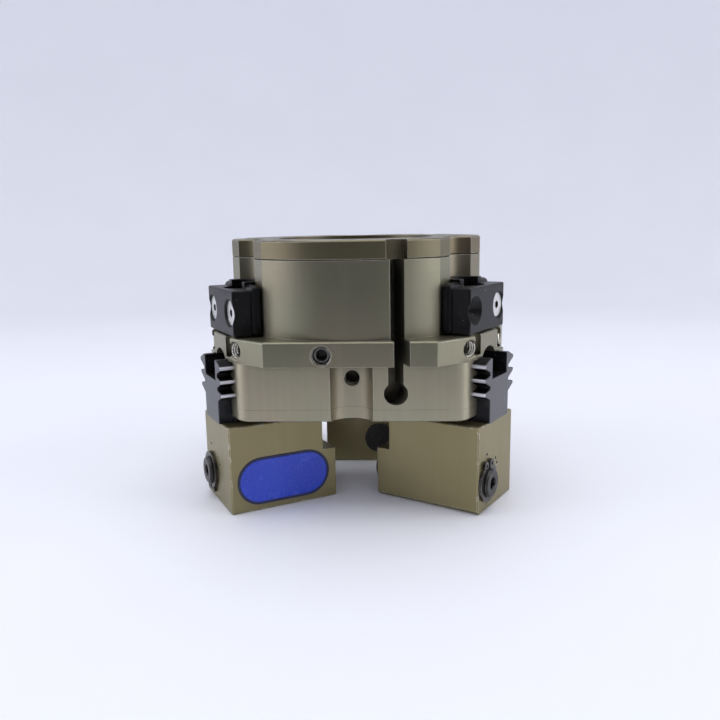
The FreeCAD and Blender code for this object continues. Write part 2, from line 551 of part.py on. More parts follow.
def quick_change_base(jaw, turn):
    """The block under a base jaw, with two pin bores and a crosswise bore for the lock shaft."""
    name = f"quick_{jaw}"
    blank = block(name, ("block_inner", "block_outer"), ("-block_half", "block_half"),
                  ("block_low", "jaw_low"))
    notched = cut(f"{name}_notched", blank, [
        block(f"{name}_notch", ("block_inner", "notch_outer"), ("-block_half", "block_half"),
              ("notch_low", "jaw_low"))])

    def near_bottom(edge):
        return level(edge, SIZES["block_low"]) and abs(edge.BoundBox.YMax + SIZES["block_half"]) < TINY

    slope = dress("Part::Chamfer", f"{name}_slope", notched, "block_chamfer", near_bottom)
    broken = dress("Part::Chamfer", f"{name}_broken", slope, "edge_break",
                   lambda edge: (level(edge, SIZES["jaw_low"]) or level(edge, SIZES["block_low"])
                                 or (upright(edge) and edge.BoundBox.XMin > SIZES["notch_outer"] + TINY)))
    tools = [rod(f"{name}_lock_bore", "lock_radius + running_gap", ("block_inner", "block_outer"),
                 "lock_s", "lock_level")]
    for place in ("first", "second"):
        at = (f"pin_{place}", "pin_s")
        tools.append(post(f"{name}_pin_{place}", "pin_radius", ("block_low", "pin_top"), *at))
        tools.append(upright_cone(f"{name}_lead_{place}", ("pin_radius + lead_in", "pin_radius"),
                                  ("block_low", "block_low + lead_in"), *at))
        tools.append(post(f"{name}_head_{place}", "head_radius", ("pin_top", "head_seat"), *at))
        tools.append(post(f"{name}_hole_{place}", "screw_radius", ("head_seat", "jaw_low"), *at))
        tools.append(post(f"{name}_sleeve_{place}", "sleeve_radius", ("sleeve_low", "jaw_low"), *at))
    mark_x = ("block_outer - dot_deep", "block_outer")
    for dot, (across, up) in enumerate(((0, 1), (0.76, 0.65), (0.90, 0.44)), 1):
        tools.append(rod(f"{name}_dot_{dot}", "dot_radius", mark_x, f"lock_s + {across} * mark_radius",
                         f"lock_level + {up} * mark_radius"))
    tools.append(block(f"{name}_tick", mark_x, ("lock_s - tick_half", "lock_s + tick_half"),
                       ("block_low + tick_rise", "block_low + tick_rise + tick_long")))
    finish(f"quick_change_base_{jaw}", cut(f"{name}_cut", broken, tools), turn)


def jaw_fasteners(jaw, turn):
    """The two socket screws and two centring sleeves between a base jaw and its block."""
    screws, sleeves = [], []
    for place in ("first", "second"):
        name, at = f"jaw_screw_{jaw}_{place}", (f"pin_{place}", "pin_s")
        head_low = "head_seat - screw_head"
        body = fuse(f"{name}_body", [
            post(f"{name}_shank", "screw_radius", (head_low, "screw_top"), *at),
            post(f"{name}_head", "screw_head_radius", (head_low, "head_seat"), *at)])
        screws.append(cut(name, body, [upright_socket(f"{name}_socket", "screw_socket",
                                                      (head_low, f"{head_low} + screw_socket_deep"),
                                                      *at)]))
        z = ("sleeve_low", "sleeve_top")
        sleeves.append(cut(f"sleeve_{jaw}_{place}",
                           post(f"sleeve_outer_{jaw}_{place}", "sleeve_radius", z, *at),
                           [post(f"sleeve_inner_{jaw}_{place}", "screw_radius", z, *at)]))
    finish(f"jaw_screws_{jaw}", fuse(f"jaw_screw_set_{jaw}", screws), turn)
    finish(f"centring_sleeves_{jaw}", fuse(f"sleeve_set_{jaw}", sleeves), turn)


def lock_shaft(jaw, turn, lug_side):
    """The quarter-turn shaft that locks the finger pins, and the retaining ring on its outer end."""
    name, at = f"lock_{jaw}", ("lock_s", "lock_level")
    body = fuse(f"{name}_body", [
        rod(f"{name}_round", "lock_radius", ("block_inner - lock_head", "lock_end - lock_tip"), *at),
        cone(f"{name}_tip", ("lock_radius", "lock_radius - lock_tip"),
             ("lock_end - lock_tip", "lock_end"), *at),
        rod(f"{name}_head", "lock_head_radius", ("block_inner - lock_head", "block_inner - lock_play"), *at)])
    ring_x = ("block_outer + lock_play", "block_outer + lock_play + ring_thick")
    groove = cut(f"{name}_groove", rod(f"{name}_groove_outer", "lock_radius + 1", ring_x, *at),
                 [rod(f"{name}_groove_inner", "ring_bore", ring_x, *at)])
    tools = [groove,
             socket(f"{name}_socket", "lock_socket", ("lock_end - lock_socket_deep", "lock_end"), *at),
             cone(f"{name}_socket_rim", ("lock_socket / 2", "lock_socket / 2 + lock_socket_rim"),
                  ("lock_end - lock_socket_rim", "lock_end"), *at)]
    for place in ("first", "second"):
        tools.append(post(f"{name}_relief_{place}", "pin_radius", ("block_low", "jaw_low"),
                          f"pin_{place}", "pin_s"))
    finish(f"lock_shaft_{jaw}", cut(f"{name}_cut", body, tools), turn)
    lug_level = f"lock_level + {lug_side} * lug_reach"
    lugs = [rod(f"{name}_lug_{side}", "lug_radius", ring_x, f"lock_s + {side} * lug_spread", lug_level)
            for side in (-1, 1)]
    ring = fuse(f"{name}_ring_body", [rod(f"{name}_ring_outer", "ring_radius", ring_x, *at)] + lugs)
    gap_z = ("lock_level", "jaw_low") if lug_side > 0 else ("block_low", "lock_level")
    holes = [rod(f"{name}_ring_bore", "ring_bore", ring_x, *at),
             block(f"{name}_ring_gap", ring_x, ("lock_s - ring_gap / 2", "lock_s + ring_gap / 2"), gap_z)]
    holes += [rod(f"{name}_lug_hole_{side}", "lug_hole", ring_x, f"lock_s + {side} * lug_spread", lug_level)
              for side in (-1, 1)]
    finish(f"retaining_ring_{jaw}", cut(f"{name}_ring", ring, holes), turn)


def label_plate(turn):
    """The thin round-ended label on the side of one block."""
    thick = ("block_half", "block_half + label_thick")
    radius, half = "label_height / 2", "(label_length - label_height) / 2"
    bar = block("label_bar", (f"label_r - {half}", f"label_r + {half}"), thick,
                (f"label_level - {radius}", f"label_level + {radius}"))
    ends = [primitive("Part::Cylinder", f"label_end_{side}", {"Radius": radius, "Height": "label_thick"},
                      (f"label_r {sign} {half}", thick[0], "label_level"), (1, 0, 0), -90)
            for side, sign in (("inner", "-"), ("outer", "+"))]
    finish("label_plate", fuse("label_outline", [bar] + ends), turn)


housing()
cylinder_cover()
cover_fasteners()
port_plugs()
rod_seal()
centre_cover()
piston()
wedge_hook()
for jaw, turn in JAWS.items():
    clamp_saddle(jaw, turn)
    sensor_bracket(jaw, turn)
    bracket_screws(jaw, turn, (1,) if jaw == "1" else (1, -1))
    base_jaw(jaw, turn)
    quick_change_base(jaw, turn)
    jaw_fasteners(jaw, turn)
    lock_shaft(jaw, turn, -1 if jaw == "3" else 1)
label_plate(JAWS["3"])

doc.recompute()
for item in doc.Objects:
    if "Invalid" in item.State or "Error" in item.State:
        raise RuntimeError(f"{item.Name} failed: {item.State}")
for solid in nodes:
    if solid.Shape.isNull() or not solid.Shape.isValid() or not solid.Shape.Solids:
        raise RuntimeError(f"{solid.Label} has no valid shape")
os.makedirs("parts", exist_ok=True)
for solid in nodes:
    solid.Shape.exportStep(f"parts/{solid.Label}.step")
    print(solid.Label, len(solid.Shape.Solids), round(solid.Shape.Volume, 1))
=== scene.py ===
import math

import bmesh
import bpy
from mathutils import Matrix, Vector


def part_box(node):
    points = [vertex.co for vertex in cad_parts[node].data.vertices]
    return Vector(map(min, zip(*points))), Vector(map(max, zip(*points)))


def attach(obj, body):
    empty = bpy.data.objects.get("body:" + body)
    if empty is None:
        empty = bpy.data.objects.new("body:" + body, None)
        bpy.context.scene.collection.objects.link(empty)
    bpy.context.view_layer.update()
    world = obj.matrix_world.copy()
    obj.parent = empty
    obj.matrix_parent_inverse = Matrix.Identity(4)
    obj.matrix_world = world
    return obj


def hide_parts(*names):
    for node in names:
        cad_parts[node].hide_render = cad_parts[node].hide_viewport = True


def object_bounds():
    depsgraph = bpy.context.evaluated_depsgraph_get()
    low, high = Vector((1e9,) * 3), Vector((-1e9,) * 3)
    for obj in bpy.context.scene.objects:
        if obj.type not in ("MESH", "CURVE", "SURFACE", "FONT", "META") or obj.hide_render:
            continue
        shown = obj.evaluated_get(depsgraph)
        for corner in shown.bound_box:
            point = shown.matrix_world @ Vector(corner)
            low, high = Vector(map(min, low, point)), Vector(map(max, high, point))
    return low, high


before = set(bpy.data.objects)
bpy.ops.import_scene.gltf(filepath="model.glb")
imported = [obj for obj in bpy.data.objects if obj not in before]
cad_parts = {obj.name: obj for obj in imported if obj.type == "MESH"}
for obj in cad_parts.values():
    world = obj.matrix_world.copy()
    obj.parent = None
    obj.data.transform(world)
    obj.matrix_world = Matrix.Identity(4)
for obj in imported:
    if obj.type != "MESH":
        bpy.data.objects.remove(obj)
cad_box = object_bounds()
MM = 0.001
JAWS = {"1": -30, "2": 90, "3": 210}
SECTORS = {"front": -90, "right": 30, "left": 150}
FLOOR = cad_box[0][2]


# ---------------------------------------------------------------- node helpers
class Nodes:
    """Short calls for building one material's node tree."""

    def __init__(self, name):
        self.material = bpy.data.materials.new(name)
        self.material.use_nodes = True
        self.tree = self.material.node_tree
        self.tree.nodes.clear()
        self.shader = self.add("ShaderNodeBsdfPrincipled")
        output = self.add("ShaderNodeOutputMaterial")
        self.link(self.shader.outputs["BSDF"], output.inputs["Surface"])

    def add(self, kind, **settings):
        node = self.tree.nodes.new(kind)
        for key, value in settings.items():
            setattr(node, key, value)
        return node

    def link(self, source, target):
        self.tree.links.new(source, target)

    def feed(self, target, value):
        """Put a number, colour or another node's output into a socket."""
        if isinstance(value, bpy.types.NodeSocket):
            self.link(value, target)
        elif isinstance(value, tuple) and len(value) == 3 and target.type == "RGBA":
            target.default_value = (*value, 1)
        else:
            target.default_value = value

    def place(self, turn=0, scale=(1, 1, 1), shift=(0, 0, 0)):
        """Object coordinates in metres, turned back by an angle about Z, then scaled."""
        coordinates = self.add("ShaderNodeTexCoord")
        turned = self.add("ShaderNodeVectorRotate", rotation_type="Z_AXIS")
        self.link(coordinates.outputs["Object"], turned.inputs["Vector"])
        turned.inputs["Angle"].default_value = math.radians(-turn)
        mapped = self.add("ShaderNodeMapping")
        self.link(turned.outputs["Vector"], mapped.inputs["Vector"])
        mapped.inputs["Scale"].default_value = scale
        mapped.inputs["Location"].default_value = shift
        return mapped.outputs["Vector"]

    def split(self, vector):
        parts = self.add("ShaderNodeSeparateXYZ")
        self.link(vector, parts.inputs["Vector"])
        return parts.outputs["X"], parts.outputs["Y"], parts.outputs["Z"]

    def noise(self, vector, scale, detail=2.0, roughness=0.5):
        node = self.add("ShaderNodeTexNoise")
        self.link(vector, node.inputs["Vector"])
        node.inputs["Scale"].default_value = scale
        node.inputs["Detail"].default_value = detail
        node.inputs["Roughness"].default_value = roughness
        return node.outputs["Fac"]

    def maths(self, operation, a, b=0.0, clamp=False):
        node = self.add("ShaderNodeMath", operation=operation, use_clamp=clamp)
        self.feed(node.inputs[0], a)
        self.feed(node.inputs[1], b)
        return node.outputs["Value"]

    def ramp(self, value, low, high, start=0.0, end=1.0):
        """Smoothly remap low..high to start..end."""
        node = self.add("ShaderNodeMapRange", interpolation_type="SMOOTHSTEP")
        self.feed(node.inputs["Value"], value)
        for key, number in (("From Min", low), ("From Max", high), ("To Min", start), ("To Max", end)):
            node.inputs[key].default_value = number
        return node.outputs["Result"]

    def mix(self, factor, a, b, blend="MIX"):
        node = self.add("ShaderNodeMix", data_type="RGBA", blend_type=blend)
        self.feed(node.inputs["Factor"], factor)
        self.feed(node.inputs[6], a)
        self.feed(node.inputs[7], b)
        return node.outputs[2]

    def bump(self, height, distance, strength=1.0, normal=None):
        node = self.add("ShaderNodeBump")
        self.feed(node.inputs["Height"], height)
        node.inputs["Distance"].default_value = distance
        node.inputs["Strength"].default_value = strength
        if normal is not None:
            self.link(normal, node.inputs["Normal"])
        return node.outputs["Normal"]

    def rounded(self, radius):
        """Shading normal with softened edges, and a mask that is 1 on the edges."""
        bevel = self.add("ShaderNodeBevel", samples=4)
        bevel.inputs["Radius"].default_value = radius
        geometry = self.add("ShaderNodeNewGeometry")
        dot = self.add("ShaderNodeVectorMath", operation="DOT_PRODUCT")
        self.link(bevel.outputs["Normal"], dot.inputs[0])
        self.link(geometry.outputs["True Normal"], dot.inputs[1])
        return bevel.outputs["Normal"], self.ramp(dot.outputs["Value"], 0.995, 0.90)

    def crevice(self, reach, low=0.25, high=0.60):
        """A mask that is 1 deep in the piece's own holes and slots, and 0 on open faces, where painted
        shade goes.
        """
        open_sky = self.add("ShaderNodeAmbientOcclusion", samples=6, only_local=True)
        open_sky.inputs["Distance"].default_value = reach
        return self.ramp(open_sky.outputs["AO"], high, low)

    def finish(self, colour, metallic, roughness, normal):
        self.feed(self.shader.inputs["Base Color"], colour)
        self.feed(self.shader.inputs["Metallic"], metallic)
        self.feed(self.shader.inputs["Roughness"], roughness)
        self.feed(self.shader.inputs["Normal"], normal)
        return self.material


def dress(node, material):
    """Give a CAD node one material."""
    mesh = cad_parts[node].data
    mesh.materials.clear()
    mesh.materials.append(material)


# ---------------------------------------------------------------- materials
# Painted shade colours for the deep parts of a piece's own holes and slots.
HOLLOW_SHADE = (0.006, 0.006, 0.006)
WARM_HOLLOW_SHADE = (0.006, 0.005, 0.004)
BARE_METAL = (0.86, 0.85, 0.82)
PALER = (1.5, 1.5, 1.52)


def anodised(name, base, warm, edge, nicks=0.0, turned_above=None, line_level=None,
             pale_below=None):
    """Satin hard-anodised aluminium with machining lines, tint changes, brighter edges that are partly
    rubbed and partly a painted highlight, and painted shade in its hollows.

    The lines run around the axis above turned_above and upright below it. A faint scribed line
    lies at line_level, and the metal is paler below pale_below, a painted reflection.
    """
    n = Nodes(name)
    height = n.split(n.place())[2]
    blend_zone = 0.2 * MM
    lines = n.noise(n.place(scale=(1, 1, 0.012)), 1500, 2)
    if turned_above is not None:
        around = n.noise(n.place(scale=(0.01, 0.01, 1)), 3200, 2)
        above = n.ramp(height, turned_above - blend_zone, turned_above + blend_zone)
        lines = n.mix(above, lines, around)
    grain = n.noise(n.place(), 5200, 1)
    cloud = n.noise(n.place(), 38, 2)
    smear = n.noise(n.place(scale=(1, 1, 0.35)), 210, 4, 0.6)
    normal, edges = n.rounded((0.34 if nicks else 0.22) * MM)
    # Painted reflection: the metal below pale_below is made paler.
    colour = n.mix(n.ramp(cloud, 0.38, 0.64), base, warm)
    if pale_below is not None:
        below = n.ramp(height, pale_below, pale_below - blend_zone)
        colour = n.mix(below, colour, PALER, "MULTIPLY")
    colour = n.mix(n.ramp(lines, 0.3, 0.7, 0.0, 0.05), colour, tuple(part * 0.55 for part in base))
    colour = n.mix(n.ramp(smear, 0.52, 0.72, 0.0, 0.05), colour, tuple(part * 1.5 for part in base))
    if line_level is not None:
        band = n.maths("ABSOLUTE", n.maths("SUBTRACT", height, line_level))
        broken = n.ramp(n.noise(n.place(), 160, 2), 0.35, 0.6, 0.08, 0.38)
        scribe = n.maths("MULTIPLY", n.ramp(band, 0.14 * MM, 0.05 * MM), broken)
        colour = n.mix(scribe, colour, tuple(part * 0.35 for part in base))
    # Brighter edges: partly rubbed metal, partly a painted highlight.
    edge_rubbing_and_highlight = n.maths("MULTIPLY", edges, n.ramp(n.noise(n.place(), 420, 3), 0.36, 0.60, 0.45, 1.0))
    colour = n.mix(n.maths("MULTIPLY", edge_rubbing_and_highlight, 0.75), colour, edge)
    if nicks:
        spots = n.ramp(n.noise(n.place(), 700, 2), 0.56, 0.61)
        chips = n.maths("MULTIPLY", n.ramp(edges, 0.2, 0.7), spots)
        colour = n.mix(n.maths("MULTIPLY", chips, nicks), colour, BARE_METAL)
    # Painted shade deep in the piece's own holes and slots.
    colour = n.mix(n.maths("MULTIPLY", n.crevice(9 * MM), 0.92), colour, WARM_HOLLOW_SHADE)
    roughness = n.ramp(lines, 0.25, 0.75, 0.33, 0.39)
    roughness = n.maths("ADD", roughness, n.ramp(smear, 0.45, 0.75, 0.0, 0.06))
    normal = n.bump(lines, 0.004 * MM, 0.12, normal)
    normal = n.bump(grain, 0.003 * MM, 0.35, normal)
    return n.finish(colour, 0.82, roughness, normal)


def black_bracket():
    """Black anodised clamp with dust specks and fine scratches."""
    n = Nodes("black_bracket")
    normal, edges = n.rounded(0.3 * MM)
    grain = n.noise(n.place(), 4200, 2)
    specks = n.ramp(n.noise(n.place(), 1300, 1), 0.735, 0.775)
    patches = n.ramp(n.noise(n.place(), 130, 3), 0.42, 0.62)
    dust = n.maths("MULTIPLY", specks, patches)
    film = n.ramp(n.noise(n.place(), 300, 4, 0.65), 0.45, 0.8, 0.0, 0.08)
    colour = n.mix(film, (0.003, 0.003, 0.0035), (0.07, 0.07, 0.075))
    # Lighter edges: partly rubbed, partly a painted highlight.
    colour = n.mix(n.maths("MULTIPLY", edges, 0.30), colour, (0.20, 0.20, 0.21))
    colour = n.mix(n.maths("MULTIPLY", dust, 0.75), colour, (0.60, 0.59, 0.56))
    roughness = n.maths("ADD", n.ramp(grain, 0.3, 0.7, 0.34, 0.46), n.maths("MULTIPLY", dust, 0.4))
    return n.finish(colour, 0.55, roughness, n.bump(grain, 0.006 * MM, 0.5, normal))


def jaw_steel(turn, tip_side, end_face):
    """Blackened steel with a ground end face, lighter edges and tooth tips that are partly rubbed and
    partly a painted highlight, and painted shade in its hollows, for one jaw's direction.
    """
    n = Nodes(f"jaw_steel_{turn}")
    along, across = n.split(n.place(turn))[:2]
    side = n.maths("ABSOLUTE", across)
    tips = n.ramp(side, tip_side - 0.35 * MM, tip_side - 0.1 * MM)
    end = n.ramp(along, end_face - 0.09 * MM, end_face - 0.02 * MM)
    tip_streaks = n.noise(n.place(turn, (0.03, 1, 1)), 1900, 3)
    grain = n.noise(n.place(), 3600, 2)
    specks = n.ramp(n.noise(n.place(), 1500, 1), 0.72, 0.77)
    normal, edges = n.rounded(0.18 * MM)
    oil = n.ramp(n.noise(n.place(), 240, 4, 0.6), 0.4, 0.7, 0.0, 0.35)
    colour = n.mix(oil, (0.018, 0.018, 0.021), (0.055, 0.055, 0.062))
    # Lighter edges: partly rubbed steel, partly a painted highlight.
    colour = n.mix(n.maths("MULTIPLY", edges, 0.45), colour, (0.34, 0.34, 0.36))
    ground_grey = n.mix(n.ramp(grain, 0.3, 0.7), (0.118, 0.119, 0.128), (0.150, 0.151, 0.160))
    colour = n.mix(end, colour, ground_grey)
    # Tooth tips: partly rubbed steel, partly a painted highlight.
    tip_rubbing_and_highlight = n.mix(n.ramp(tip_streaks, 0.3, 0.7), (0.42, 0.42, 0.44), (0.80, 0.80, 0.82))
    colour = n.mix(tips, colour, tip_rubbing_and_highlight)
    colour = n.mix(n.maths("MULTIPLY", specks, 0.35), colour, (0.42, 0.40, 0.36))
    # Painted shade deep in the piece's own holes and slots.
    colour = n.mix(n.crevice(4 * MM), colour, HOLLOW_SHADE)
    roughness = n.maths("ADD", n.ramp(grain, 0.3, 0.7, 0.34, 0.44), n.maths("MULTIPLY", end, 0.08))
    return n.finish(colour, 0.80, roughness, n.bump(grain, 0.005 * MM, 0.4, normal))


def plain_metal(name, base, rubbed_and_highlight, rough, metallic=0.9, streaks=(1, 1, 1), bevel=0.12, shade_hollows=True):
    """Steel or aluminium with grain, faint stains, edges that are partly rubbed and partly a painted
    highlight, and optional painted shade in its hollows.
    """
    n = Nodes(name)
    normal, edges = n.rounded(bevel * MM)
    grain = n.noise(n.place(scale=streaks), 3000, 3)
    stain = n.noise(n.place(), 350, 4, 0.6)
    colour = n.mix(n.ramp(stain, 0.38, 0.7, 0.0, 0.5), base, tuple(part * 0.55 for part in base))
    colour = n.mix(n.ramp(grain, 0.35, 0.75, 0.0, 0.25), colour, rubbed_and_highlight)
    # Lighter edges: partly rubbed metal, partly a painted highlight.
    colour = n.mix(n.maths("MULTIPLY", edges, 0.7), colour, rubbed_and_highlight)
    # Painted shade deep in the piece's own holes and slots.
    if shade_hollows:
        colour = n.mix(n.crevice(2.5 * MM), colour, HOLLOW_SHADE)
    roughness = n.ramp(grain, 0.3, 0.7, rough - 0.05, rough + 0.07)
    return n.finish(colour, metallic, roughness, n.bump(grain, 0.004 * MM, 0.4, normal))


def rubber():
    """Black nitrile with a faint bloom."""
    n = Nodes("seal_rubber")
    bloom = n.noise(n.place(), 600, 4, 0.6)
    colour = n.mix(n.ramp(bloom, 0.45, 0.75, 0.0, 0.3), (0.012, 0.012, 0.013), (0.06, 0.06, 0.06))
    return n.finish(colour, 0.0, n.ramp(bloom, 0.3, 0.7, 0.45, 0.62), n.bump(bloom, 0.01 * MM, 0.4))


def blue_enamel():
    """Glossy blue face of the label, with faint printing grain and rubbed spots."""
    n = Nodes("label_blue")
    grain = n.noise(n.place(), 2600, 2)
    rubbed = n.ramp(n.noise(n.place(), 220, 3, 0.5), 0.58, 0.75, 0.0, 0.15)
    tint = n.ramp(n.noise(n.place(), 60, 2), 0.35, 0.65)
    colour = n.mix(tint, (0.016, 0.042, 0.400), (0.022, 0.054, 0.470))
    colour = n.mix(rubbed, colour, (0.06, 0.10, 0.55))
    roughness = n.maths("ADD", n.ramp(grain, 0.3, 0.7, 0.24, 0.28), n.maths("MULTIPLY", rubbed, 0.4))
    return n.finish(colour, 0.0, roughness, n.bump(grain, 0.001 * MM, 0.08))


def dark_border():
    """Dark printed border of the label."""
    n = Nodes("label_border")
    grain = n.noise(n.place(), 2600, 2)
    colour = n.mix(n.ramp(grain, 0.4, 0.7), (0.008, 0.010, 0.040), (0.014, 0.018, 0.070))
    return n.finish(colour, 0.0, n.ramp(grain, 0.3, 0.7, 0.30, 0.40), n.bump(grain, 0.004 * MM, 0.3))


# ---------------------------------------------------------------- pieces
def mesh_piece(name, build, material, body, smooth=True):
    """A new mesh piece that rides on a CAD body."""
    mesh = bpy.data.meshes.new(name)
    shape = bmesh.new()
    build(shape)
    bmesh.ops.recalc_face_normals(shape, faces=shape.faces)
    shape.to_mesh(mesh)
    shape.free()
    for face in mesh.polygons:
        face.use_smooth = smooth
    mesh.materials.append(material)
    piece = bpy.data.objects.new(name, mesh)
    bpy.context.scene.collection.objects.link(piece)
    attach(piece, body)
    return piece


def stadium(half, radius, steps=20):
    """Points of a round-ended outline, across and up."""
    points = []
    for sign, start in ((1, -90), (-1, 90)):
        for step in range(steps + 1):
            angle = math.radians(start + 180 * step / steps)
            points.append((sign * half + radius * math.cos(angle), radius * math.sin(angle)))
    return points


def label(turn):
    """The label plate: a slightly domed blue face inside a dark raised border."""
    low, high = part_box("label_plate")
    centre = (Vector(low) + Vector(high)) / 2
    along = Vector((math.cos(math.radians(turn)), math.sin(math.radians(turn)), 0))
    out = Vector((-along.y, along.x, 0))
    height = high[2] - low[2]
    length = (high[0] - low[0]) / abs(along.x)
    thick = 0.2 * MM
    flat = centre - out * (thick / 2)
    radius, half = height / 2, (length - height) / 2 - 0.02 * MM

    def ring(shape, inset, rise):
        return [shape.verts.new(flat + along * x + Vector((0, 0, z)) + out * rise)
                for x, z in stadium(half, radius - inset)]

    def surface(levels):
        def build(shape):
            rings = [ring(shape, inset * MM, rise * MM) for inset, rise in levels]
            for outer, inner in zip(rings, rings[1:]):
                for i, vert in enumerate(outer):
                    j = (i + 1) % len(outer)
                    shape.faces.new((vert, outer[j], inner[j], inner[i]))
            shape.faces.new(rings[0])
            shape.faces.new(rings[-1])
        return build

    face_levels = [(0.75, 0.02), (0.75, 0.13), (0.85, 0.15), (1.6, 0.16), (3.4, 0.17)]
    border_levels = [(0.0, 0.0), (0.0, 0.12), (0.08, 0.16), (0.62, 0.16), (0.74, 0.12), (0.74, 0.03)]
    face = mesh_piece("label_face", surface(face_levels), blue_enamel(), "jaw_3")
    border = mesh_piece("label_border", surface(border_levels), dark_border(), "jaw_3")
    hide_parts("label_plate")
    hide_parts("label_plate")


def thread(name, centre, direction, radius, length, pitch, material, body):
    """The ridges of a screw thread inside a plain hole, as a helix that runs inwards from centre."""
    axis = Vector(direction).normalized()
    across = axis.orthogonal().normalized()
    other = axis.cross(across)
    steps = 28
    total = int(steps * length / pitch)
    section = ((0.03, -0.42), (-0.28, 0.0), (0.03, 0.42))

    def build(shape):
        rows = []
        for step in range(total + 1):
            angle = 2 * math.pi * step / steps
            spoke = across * math.cos(angle) + other * math.sin(angle)
            advance = pitch * step / steps
            rows.append([shape.verts.new(centre + spoke * (radius + grow * pitch)
                                         + axis * (advance + shift * pitch))
                         for grow, shift in section])
        for first, second in zip(rows, rows[1:]):
            for i in range(3):
                j = (i + 1) % 3
                shape.faces.new((first[i], first[j], second[j], second[i]))
        shape.faces.new(rows[0])
        shape.faces.new(rows[-1])

    return mesh_piece(name, build, material, body)


# ---------------------------------------------------------------- dressing the CAD nodes
OLIVE = (0.240, 0.231, 0.163)
OLIVE_WARM = (0.254, 0.227, 0.163)
OLIVE_EDGE = (0.66, 0.65, 0.58)
GUIDE_TOP = -31.6 * MM
SCRIBED_LEVEL = -43.8 * MM
ALL_TURNED = FLOOR - 20 * MM
housing_finish = anodised("anodised_housing", OLIVE, OLIVE_WARM, OLIVE_EDGE,
                          turned_above=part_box("sensor_bracket_1")[0][2],
                          line_level=SCRIBED_LEVEL, pale_below=GUIDE_TOP)
cover_finish = anodised("anodised_cover", (0.168, 0.152, 0.094), (0.184, 0.152, 0.096), OLIVE_EDGE,
                        turned_above=ALL_TURNED)
block_finish = anodised("anodised_block", (0.246, 0.214, 0.110), (0.264, 0.224, 0.120),
                        (0.62, 0.58, 0.46), nicks=1.0)
bracket_finish = black_bracket()
zinc = plain_metal("zinc_screw", (0.72, 0.71, 0.69), (0.86, 0.86, 0.85), 0.30)
dark_screw = plain_metal("dark_screw", (0.10, 0.10, 0.10), (0.40, 0.39, 0.37), 0.36)
plug_steel = plain_metal("plug_steel", (0.20, 0.195, 0.18), (0.62, 0.60, 0.55), 0.30)
shaft_steel = plain_metal("lock_shaft_steel", (0.022, 0.021, 0.020), (0.20, 0.19, 0.18), 0.36, 0.7)
ring_steel = plain_metal("spring_steel", (0.050, 0.046, 0.042), (0.42, 0.40, 0.37), 0.32, 0.85)
hook_steel = plain_metal("hook_steel", (0.10, 0.10, 0.105), (0.40, 0.40, 0.41), 0.34)
dust_steel = plain_metal("dust_cover_steel", (0.16, 0.16, 0.155), (0.45, 0.45, 0.44), 0.38)
ground = plain_metal("ground_steel", (0.52, 0.52, 0.52), (0.75, 0.75, 0.75), 0.28)
piston_metal = plain_metal("piston_aluminium", (0.50, 0.50, 0.49), (0.72, 0.72, 0.72), 0.34,
                           streaks=(0.02, 0.02, 1))
magnet = plain_metal("bonded_magnet", (0.10, 0.10, 0.11), (0.22, 0.22, 0.23), 0.5, 0.6)
seal = rubber()
thread_metal = plain_metal("cut_thread", (0.42, 0.40, 0.34), (0.85, 0.83, 0.76), 0.26,
                           shade_hollows=False)

TOOTH_TIP, JAW_END = 9.7 * MM, 45.5 * MM
dress("housing", housing_finish)
dress("cylinder_cover", cover_finish)
dress("cover_o_ring", seal)
dress("rod_seal", seal)
dress("piston_seal", seal)
dress("cover_screws", dark_screw)
dress("centre_cover_screws", dark_screw)
dress("hook_screw", dark_screw)
dress("port_plugs", plug_steel)
dress("centre_cover", dust_steel)
dress("piston", piston_metal)
dress("piston_magnet", magnet)
dress("wedge_hook", hook_steel)
for jaw, turn in JAWS.items():
    dress(f"sensor_bracket_{jaw}", bracket_finish)
    dress(f"clamp_saddle_{jaw}", bracket_finish)
    dress(f"bracket_screws_{jaw}", zinc)
    dress(f"base_jaw_{jaw}", jaw_steel(turn, TOOTH_TIP, JAW_END))
    dress(f"quick_change_base_{jaw}", block_finish)
    dress(f"jaw_screws_{jaw}", dark_screw)
    dress(f"centring_sleeves_{jaw}", ground)
    dress(f"lock_shaft_{jaw}", shaft_steel)
    dress(f"retaining_ring_{jaw}", ring_steel)

label(JAWS["3"])

HOLE_RADIUS, HOLE_PITCH = 2.1 * MM, 0.8 * MM
CORNER = {"lean": 20, "out": 41.8 * MM, "aside": 4.6 * MM, "level": -28.4 * MM, "length": 4.2 * MM}
MOUNT = {"out": 30 * MM, "level": -0.6 * MM, "length": 8 * MM}
SIDE = {"out": 28 * MM, "level": -36.1 * MM, "length": 3.6 * MM, "pitch": 0.7 * MM}
PORT = {"out": 36.5 * MM, "aside": -7.25 * MM, "level": -28.7 * MM, "length": 1.7 * MM, "radius": 2.5 * MM}
DOWN = Vector((0, 0, -1))


def housing_thread(name, at, inwards, spokes):
    """A cut thread in the housing, placed by how far out and aside along two spokes, and by its level."""
    out, left = spokes
    mouth = out * at["out"] + left * at.get("aside", 0) + Vector((0, 0, at["level"]))
    thread(name, mouth, inwards, at.get("radius", HOLE_RADIUS), at["length"], at.get("pitch", HOLE_PITCH),
           thread_metal, "housing_body")


def spokes_at(degrees):
    """The outward direction at an angle about Z, and the one to its left."""
    angle = math.radians(degrees)
    out = Vector((math.cos(angle), math.sin(angle), 0))
    return out, Vector((-out.y, out.x, 0))


